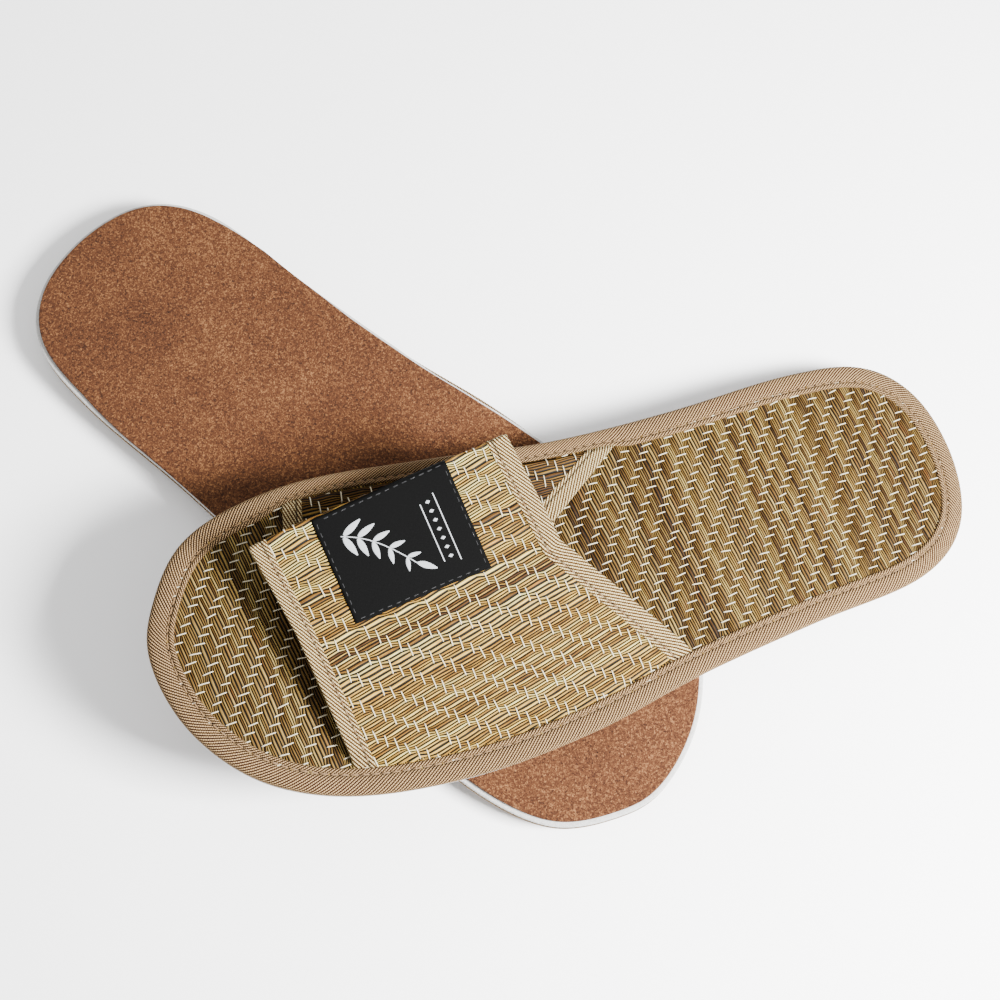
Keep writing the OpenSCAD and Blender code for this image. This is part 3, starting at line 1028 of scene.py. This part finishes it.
    def slab(self, part, inset, low, high, paint, soft, trims=()):
        """A flat layer of the sole with a softened rim; trims are (side, stations, further insets)."""
        mid = (low + high) / 2
        s = np.arange(0, self.outline.length, 1.0)
        foot = self.outline.place(s, 0)
        for hand, stations, more in trims:
            inset = inset + (foot[:, 1] * hand > 0) * np.interp(foot[:, 0], stations, more)
        rim = [(soft * 3, low), (soft, low), (soft * 0.3, low + soft * 0.3), (0, low + soft), (0, mid),
               (0, high - soft), (soft * 0.3, high - soft * 0.3), (soft, high), (soft * 3, high)]
        rings = [self.outline.place(s, inset + e) for e, _ in rim]
        heights = [h for _, h in rim]
        inner = rings[0]
        spine = np.stack([np.clip(inner[:, 0], inner[:, 0].min() + 45, inner[:, 0].max() - 38),
                          np.interp(inner[:, 0], (-140, 0, 140), (6, 0, 1))], 1)
        for share in (0.35, 0.7, 1.0):
            for where, z in ((0, low), (len(rings), high)):
                rings.insert(where, inner * (1 - share) + spine * share)
                heights.insert(where, z)
        x, y = np.moveaxis(np.stack(rings, 1), 2, 0)
        z = np.repeat(np.array(heights)[None], len(s), 0)
        thing = grid_object(f"{self.side}_{part}_shape", self.on_sole, (x, y, z), (x, y),
                            close_rows=True, flip=not self.flip)
        return self.ride(self.dress(thing, paint, paint, [part]), "sole")

    def ride(self, thing, body):
        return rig.ride(thing, f"{self.side}_{body}")

    def bend_crest(self, thing):
        """Bends a piece across the crest crease, between the band and its middle flap."""
        axis = np.array([self.crest_length / 2, 0, 0])
        towards = np.array([0, math.sin(self.fold), math.cos(self.fold) - 1])
        towards *= 0.08 / np.linalg.norm(towards)
        ends = apply(self.world @ self.crest, np.stack([axis - towards, axis + towards])) * MM
        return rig.blend(thing, f"{self.side}_band", f"{self.side}_mid_flap", start=ends[0], end=ends[1])

    def bend_seam(self, thing):
        """Bends a piece at the band's seam: what is sewn under the edge binding stays with the sole."""
        ends = apply(self.world @ self.seam, np.array([[57, -0.5, 0], [57, 3.5, 0]])) * MM
        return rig.blend(thing, f"{self.side}_sole", f"{self.side}_band", start=ends[0], end=ends[1])

    def bend_far(self, thing):
        """The same at the far flap's seam."""
        ends = apply(self.world @ self.far, np.array([[57, 0.5, 0], [57, -3.5, 0]])) * MM
        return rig.blend(thing, f"{self.side}_sole", f"{self.side}_far_flap", start=ends[0], end=ends[1])

    def bend(self, thing):
        """Bends a piece that runs from the seam over the crest, as two pieces that meet on the band."""
        at, ahead = apply(self.world @ self.crest, np.array([[0, BAND_CUT, 0], [0, BAND_CUT + 1, 0]]))
        self.bend_seam(split(thing, thing.name + "_low", at * MM, ahead - at))
        return self.bend_crest(thing)

    def woven(self, part, weave, area, columns, back, put, flip, paint, slot, nodes, hang, thread):
        """A mat of straws and its warp. area is low, high, start and stop, thread is the warp's
        width, its top and, where something covers it, the test for that."""
        mat = weave.mat(f"{self.side}_{part}_straws", *area, columns, back, put, flip)
        hang(self.dress(mat, paint, slot, nodes))
        wide, top, *hidden = thread
        warp = weave.warp(f"{self.side}_{part}_warp", *area, wide, top, put, *hidden)
        hang(self.dress(warp, "warp", "thread"))
        return mat

    def lining(self, part, area, rows, put, nodes, hang, mat):
        """A cotton lining behind a mat."""
        lining = cloth_sheet(f"{self.side}_{part}", *area, rows, 50, -0.3, -CLOTH_HALF, put, self.flip)
        hang(self.dress(lining, "lining", "lining", nodes))
        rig.sheet(lining, held="folded", rests_on=[mat], **cut(*area))

    def sole(self):
        """The layers from the cork up to the footbed, and the binding round them."""
        left = self.side == "left"
        self.slab("cork_outsole", 1.8, 0, FOAM_FOOT, "cork", 0.3, CORK_TRIMS[self.side])
        foam_layer = self.slab("foam_midsole", 0.2, FOAM_FOOT, FOAM_TOP, "foam", 0.45, FOAM_TRIMS[self.side])
        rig.padded(foam_layer, fill=1)
        self.slab("insole_board", 2.4, FOAM_TOP + 0.1, BOARD_TOP, "board", 0.2)
        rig.padded(self.slab("insole_pad", 2.4, BOARD_TOP, PAD_TOP, "pad", 0.3), fill=0.8)
        start, stop, low, high = self.outline.spans(5.6)
        weave = Weave(2.06, 2.42, 1, 0.42, 0.22, (2, 3, 3), 0.3, -0.45, 11 if left else 12)
        self.woven("footbed", weave, (low, high, start, stop), 134 if left else 80, -1.15,
                   self.on_footbed, not self.flip, "rush_footbed", "rush_footbed", ["footbed_mat"],
                   lambda thing: self.ride(thing, "sole"), (0.4, -0.02))
        self.edge_binding()

    def edge_binding(self):
        """The twill binding, from the footbed round the rim to the foam, and its stitches."""
        edge = self.outline
        top = [(8.35, 5.6), (8.42, 7.4), (8.44, 7.9), (8.3, 8.3), (7.9, 8.66), (7.35, 8.76), (6.85, 8.54),
               (6.5, 8.1), (6.3, 7.85), (6.05, 8.05), (5.7, 8.4), (5.0, 8.6), (4, 8.66), (2.6, 8.55),
               (1.6, 8.35), (0.8, 8.02), (0.3, 7.5), (0.05, 6.8), (0, 6), (0.08, 5.1), (0.4, 4.4),
               (1, 3.95), (2, 3.8)]
        ring = np.concatenate([spaced(top, 0.3), [(5, 3.8), (8.3, 3.82)]])
        s = np.linspace(0, edge.length, int(edge.length / 0.24), endpoint=False)
        pitch = EDGE_RIBS[0] / math.sin(EDGE_RIBS[1])
        whole = edge.length / round(edge.length / pitch) / pitch
        put = lambda s, e, z: self.on_edge(s * whole, e, z)
        name = f"{self.side}_edge_tape"
        thing = tape(name, s / whole, ring, put, not self.flip, EDGE_RIBS, closed=True)
        self.ride(self.dress(thing, "edge_twill", "edge_twill", ["edge_binding"]), "sole")
        count = int(edge.length / 3.4)
        self.stitches("edge_stitches", np.arange(count) * edge.length / count, 2.75,
                      lambda s, lift: self.on_edge(s, np.full_like(s, STITCH_AT), 8.1 + lift),
                      "thread", "sole", 0.42, ["edge_stitching"])

    def stitches(self, part, starts, length, put, slot, body, wide, nodes=()):
        """A row of running stitches that start at the given lengths along a line."""
        t = np.linspace(0, 1, 7)
        s = starts[:, None] + t * length
        lift = np.repeat((0.16 - 0.42 * np.abs(2 * t - 1) ** 4)[None], len(starts), 0)
        line = put(s.ravel(), lift.ravel()).reshape(*s.shape, 3)
        above = put(s.ravel(), lift.ravel() + 1).reshape(*s.shape, 3)
        thing = tubes(f"{self.side}_{part}", line, above - line, wide / 2, wide * 0.38)
        self.ride(self.dress(thing, slot, slot, nodes), body)

    def strip_put(self, line, inwards, place, taper):
        """Maps (along an edge line, in from it, off the cloth) onto the cloth."""
        at = lengths(line)

        def on_line(s):
            s = np.clip(s, 0, at[-1])
            return np.stack([np.interp(s, at, line[:, k]) for k in (0, 1)])

        def put(s, e, w):
            e = e * np.interp(s, at[[0, 2]], taper)
            a, b = on_line(s)
            da, db = on_line(s + 2.5) - on_line(s - 2.5)
            size = np.hypot(da, db)
            return place(a + e * inwards * db / size, b - e * inwards * da / size, w)
        return put, at[-1]

    def edge_tape(self, part, line, inwards, width, place, nodes, bend, taper=(1, 1)):
        """A ribbed tape folded over an edge of the band."""
        put, length = self.strip_put(line, inwards, place, taper)
        face, back, w = CLOTH_HALF, -CLOTH_HALF - 0.1, width
        ring = [(w, 0.1), (w - 0.05, face - 0.12), (w - 0.35, face), (w - 1.1, face),
                (w - 1.5, face - 0.12), (w - TAPE_GROOVE, face - 0.22), (w - 2.0, face - 0.12),
                (w - 2.5, face - 0.02), (w - 3.3, face), (1.6, face), (0.7, face - 0.04),
                (0.2, face - 0.25), (0, 0), (0.2, back + 0.25), (0.7, back + 0.04), (1.6, back),
                (w / 2, back), (w - 0.4, back), (w, back + 0.2)]
        s = np.linspace(0, length, int(length / 0.3))
        flip = self.flip == (inwards > 0)
        ring = spaced(ring + ring[:1], 0.3)[:-1]
        thing = tape(f"{self.side}_{part}", s, ring, put, flip, BAND_RIBS, -inwards)
        bend(self.dress(thing, "band_twill", "band_twill", nodes))
        return put

    def band(self):
        """The near panel and the mid flap as one cloth, its bound edges, linings and label."""
        front, rear = self.edges()
        for end, line, inwards, width, taper in (("front", front, 1, FRONT_TAPE, (1, 0.8)),
                                                 ("rear", rear, -1, REAR_TAPE, (1, 1))):
            put = self.edge_tape(f"band_{end}_tape", line, inwards, width, self.on_band,
                                 [f"band_{end}_binding", f"mid_flap_{end}_binding"], self.bend, taper)
            starts = np.arange(9.5, lengths(line[:3])[-1] - 4, 3.1)
            on_tape = lambda s, lift: put(s, np.full_like(s, width - TAPE_GROOVE), CLOTH_HALF - 0.2 + lift)
            self.stitches(f"band_{end}_stitches", starts, 2.4, on_tape, "thread", "band", 0.36)

        corner = rear[0]
        low_line = np.concatenate([[corner], front])
        low_line[1:, 0] += (FRONT_TAPE - 1.2) * np.array([1, 0.9, 0.8, 0.8, 0.8])
        end = np.array([[rear[-1, 0] - REAR_TAPE + 1.2, rear[-1, 1]]])
        low_line = np.concatenate([low_line, end])
        high_line = rear.copy()
        high_line[:, 0] -= (REAR_TAPE - 1.2) * np.array([1.2, 1.1, 1, 1, 1])
        low_line[0, 0] = high_line[0, 0]
        low, high = line_of(low_line), line_of(high_line)
        start, stop = corner[1] + 1.2, rear[-1, 1] - 0.8
        weave = Weave(2.55, 2.6, -1, 0.5, 0.12, (2, 3, 3), 0.28, -0.05, 21 if self.side == "left" else 22)
        mat = self.woven("band", weave, (low, high, start, stop), 170, -0.24, self.on_band, self.flip,
                         "rush_band", "rush_band", ["band_panel", "mid_flap"], self.bend,
                         (0.4, 0.38, self.under_label))
        for part, first, last, hang, nodes in (
                ("band_lining_cloth_low", start, BAND_CUT, self.bend_seam, ()),
                ("band_lining_cloth", BAND_CUT, stop, self.bend_crest, ("band_lining", "mid_flap_lining"))):
            self.lining(part, (low, high, first, last), 90, self.on_band, nodes, hang, mat)
        self.label()
        self.far_flap()

    def far_flap(self):
        """The flap sewn under the binding's other side, up to where it bends at the tuck."""
        length = self.far_length
        past = CREASE_R * TUCK[self.side] + 0.6
        front = np.array([[0.6, 2], FAR_FRONT_END, [FAR_FRONT_END[0] - 0.2, FAR_FRONT_END[1] - past]])
        inner = np.array([length + FAR_REAR_END[0], FAR_REAR_END[1]])
        rear = np.array([[length + 3.6, 2], inner, inner + [-past * 0.3, -past]])
        for end, line, inwards, width, taper in (("front", front, -1, FRONT_TAPE, (1, 1)),
                                                 ("rear", rear, 1, REAR_TAPE, (0.84, 0.96))):
            self.edge_tape(f"far_{end}_tape", longer(line), inwards, width, self.on_far,
                           [f"far_flap_{end}_binding"], self.bend_far, taper)
        start, stop = FAR_FRONT_END[1] - past, 5.0
        low = line_of([(FAR_FRONT_END[0] + 5.2, start), (5.2, 0), (6, stop)])
        high = line_of([(FAR_FRONT_END[0] + 5.3, start), (inner[0] - 7, inner[1] - past),
                        (inner[0] - 7, inner[1]), (length - 7.4, 0), (length - 2, stop)])
        area = (low, high, start, stop)
        weave = Weave(2.3, 2.5, -1, 0.36, 0.12, (2, 3), 0.26, -0.05, 31 if self.side == "left" else 32)
        # The far flap's mat takes the darker copy of the band's rush as painted shade, and its slot stays rush_band.
        mat = self.woven("far", weave, area, 160, -0.24, self.on_far, self.flip, "rush_inner", "rush_band",
                         ["far_flap"], self.bend_far, (0.36, 0.36))
        self.lining("far_lining_cloth", area, 40, self.on_far, ["far_flap_lining"], self.bend_far, mat)

    def on_label(self, x, y, w):
        """The label narrows a little towards its front end, where the band is slack."""
        y = LABEL_SIZE[1] * 0.5 + (y - LABEL_SIZE[1] * 0.5) * (1 - 0.062 * (1 - x / LABEL_SIZE[0]))
        return self.on_band(x + LABEL_AT[0], y + LABEL_AT[1], CLOTH_HALF + w)

    @staticmethod
    def under_label(a, b):
        x, y = a - LABEL_AT[0], b - LABEL_AT[1]
        return -0.7 < x < LABEL_SIZE[0] + 0.7 and -0.8 < y < LABEL_SIZE[1] + 3.4

    def label(self):
        """The black label, open at its back, and its stitches."""
        side = self.side
        wide, tall = LABEL_SIZE
        x, y = np.linspace(0, wide, 64), np.linspace(0, tall, 52)
        yy, xx = np.meshgrid(y, x, indexing="ij")
        rim = np.minimum(np.minimum(xx, wide - xx), np.minimum(yy, tall - yy))
        w = -0.12 * np.exp(-rim / 0.25) + 0.03 * np.sin(xx / 6.1) * np.cos(yy / 4.7)
        w = w - 0.05 * np.exp(-((rim - 1.15) / 0.3) ** 2)
        xx, yy, w = (np.pad(v, 1, "edge") for v in (xx, yy, w))
        w[[0, -1]] = -0.4
        w[:, [0, -1]] = -0.4
        thing = grid_object(f"{side}_label_cloth", self.on_label, (xx, yy, w), (xx, yy), flip=self.flip)
        self.ride(self.dress(thing, "label_satin", "label", ["label"]), "band")
        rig.sheet(thing, flat=(wide * MM, tall * MM), held="laid", rests_on=[f"{side}_band_straws"])
        hem = 1.15
        right, far = wide - hem, tall - hem
        corners = np.array([[hem, hem], [right, hem], [right, far], [hem, far], [hem, hem]])
        at = lengths(corners)
        put = lambda s, lift: self.on_label(*(np.interp(s, at, v) for v in corners.T), lift * 0.6 - 0.06)
        starts = np.concatenate([np.arange(p + 0.7, q - 2.2, 3.0) for p, q in zip(at[:-1], at[1:])])
        self.stitches("label_stitches", starts, 2.0, put, "label_thread", "band", 0.26, ["label_stitching"])
        self.motif()

    def motif(self):
        """A plain leaf sprig and two rules, woven in pale thread."""
        leaves = []
        stem_t = np.linspace(0, 1, 12)
        stem_x = 5 + 22 * stem_t
        stem_y = 29 - 21 * stem_t + 3.4 * np.sin(stem_t * math.pi)
        for k in range(1, 11, 2):
            for turn_to in (-1, 1):
                heading = math.atan2(stem_y[k + 1] - stem_y[k - 1], stem_x[k + 1] - stem_x[k - 1])
                leaves.append((stem_x[k], stem_y[k], heading + turn_to * 0.85, 8.6 - 0.4 * k))
        leaves.append((stem_x[-2], stem_y[-2], math.atan2(-1.6, 2), 7.4))
        t = np.linspace(0, 1, 13)
        strips = [(x + np.cos(h) * size * t, y + np.sin(h) * size * t,
                   0.18 * size * np.sin(math.pi * t ** 0.8) + 0.03) for x, y, h, size in leaves]
        strips.append((np.interp(t, stem_t, stem_x), np.interp(t, stem_t, stem_y), np.full(13, 0.22)))
        for x, low, high in ((33.4, 6.2, 28.4), (38.6, 4.6, 30.6)):
            strips.append((np.full(13, x), low + (high - low) * t, np.full(13, 0.24)))
        for y in np.arange(8.5, 28, 3.1):
            strips.append((36 + 0.9 * (t * 2 - 1), np.full(13, y), 0.75 * (1 - np.abs(2 * t - 1)) + 0.03))
        across = np.linspace(-1, 1, 7)
        all_points, all_quads, all_uv = [], [], []
        for number, (x, y, half) in enumerate(strips):
            dx, dy = np.gradient(x), np.gradient(y)
            size = np.hypot(dx, dy)
            px = x[:, None] - (dy / size * half)[:, None] * across
            py = y[:, None] + (dx / size * half)[:, None] * across
            swell = np.sqrt(np.maximum(1 - across ** 2, 0))
            lift = 0.02 + 0.07 * swell[None] * np.minimum(half / 0.3, 1)[:, None]
            lift[:, [0, -1]] = -0.15
            lift[[0, -1]] = -0.15
            all_points.append(self.on_label(px.ravel(), py.ravel(), lift.ravel()))
            all_quads.append(quads_of(*px.shape, flip=self.flip) + number * px.size)
            all_uv.append(np.stack([px.ravel(), py.ravel()], 1))
        points, quads, uv = (np.concatenate(v) for v in (all_points, all_quads, all_uv))
        thing = mesh_object(f"{self.side}_label_motif", points * MM, quads, uv)
        self.ride(self.dress(thing, "motif", "label_thread"), "band")


# ---------------------------------------------------------------- the room

def room():
    """A pale studio: the floor, an even white world and two lamps."""
    floor = mesh_object("floor", np.array([[-4, -4, 0], [4, -4, 0], [4, 4, 0], [-4, 4, 0]], float)
                        - [0, 0, 0.0002], np.array([[0, 1, 2, 3]]))
    floor.data.materials.append(floor_paint())
    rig.stage(floor)
    world = bpy.data.worlds.new("studio")
    world.use_nodes = True
    world.node_tree.nodes["Background"].inputs[0].default_value = (1, 1, 1, 1)
    world.node_tree.nodes["Background"].inputs[1].default_value = 1.05
    bpy.context.scene.world = world
    for name, place, size, power in (("key", (0.5, -0.16, 0.5), 0.22, 37),
                                     ("fill", (-0.5, 0.6, 1.0), 1.0, 3)):
        light = bpy.data.lights.new(name, "AREA")
        light.size = size
        light.energy = power
        lamp = bpy.data.objects.new(name, light)
        lamp.location = place
        lamp.rotation_mode = "QUATERNION"
        lamp.rotation_quaternion = Vector(place).to_track_quat("Z", "Y")
        bpy.context.scene.collection.objects.link(lamp)


def camera():
    """The photograph's view: high above the near side, turned a little."""
    elevation, roll, distance = math.radians(72.7), math.radians(5.5), 0.52
    target = Vector((0.00466, 0.00724, 0))
    right = Vector((1, 0, 0))
    back = Vector((0, -math.cos(elevation), math.sin(elevation)))
    up = back.cross(right)
    across = right * math.cos(roll) + up * math.sin(roll)
    over = up * math.cos(roll) - right * math.sin(roll)
    data = bpy.data.cameras.new("camera")
    data.lens, data.sensor_width = 53.0, 36
    made = bpy.data.objects.new("camera", data)
    made.matrix_world = Matrix.Translation(target + back * distance) @ Matrix(
        (across, over, back)).transposed().to_4x4()
    bpy.context.scene.collection.objects.link(made)
    bpy.context.scene.camera = made


for side in ("left", "right"):
    slipper = Slipper(side)
    slipper.sole()
    slipper.band()
room()
camera()

with open("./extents.json", "w") as f:
    json.dump({"cad": [list(v) for v in CAD_BOX], "visual": [list(v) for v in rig.bounds()]}, f)
